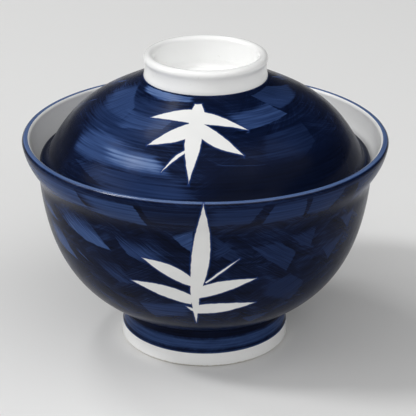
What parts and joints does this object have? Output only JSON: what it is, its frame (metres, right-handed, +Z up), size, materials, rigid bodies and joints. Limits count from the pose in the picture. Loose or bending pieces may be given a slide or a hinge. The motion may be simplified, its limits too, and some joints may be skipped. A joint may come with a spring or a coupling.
{
  "type": "rice bowl",
  "caption": "Lidded rice bowl: footed porcelain bowl with a flared rim, and a domed lid with a grip ring that rests inside the rim.",
  "frame": {"origin": "centre of the foot ring's bearing edge, on the table", "axes": "+Z up along the axis of the bowl and lid; the bamboo spray faces -Y"},
  "size_m": [0.128, 0.128, 0.1061],
  "materials": {
    "white_porcelain": "clear gloss glaze over white porcelain",
    "blue_coat": "brushed cobalt blue under clear gloss glaze"
  },
  "bodies": {
    "bowl": {"bowl_body": "white_porcelain", "foot_ring": "white_porcelain", "bowl_blue_coat": "blue_coat", "foot_blue_band": "blue_coat"},
    "lid": {"lid_dome": "white_porcelain", "lid_ring": "white_porcelain", "lid_blue_coat": "blue_coat"}
  },
  "joints": [
    {"name": "lid_lift", "type": "slide", "parent": "bowl", "child": "lid", "axis": [0, 0, 1], "range_m": [0, 0.12]}
  ]
}
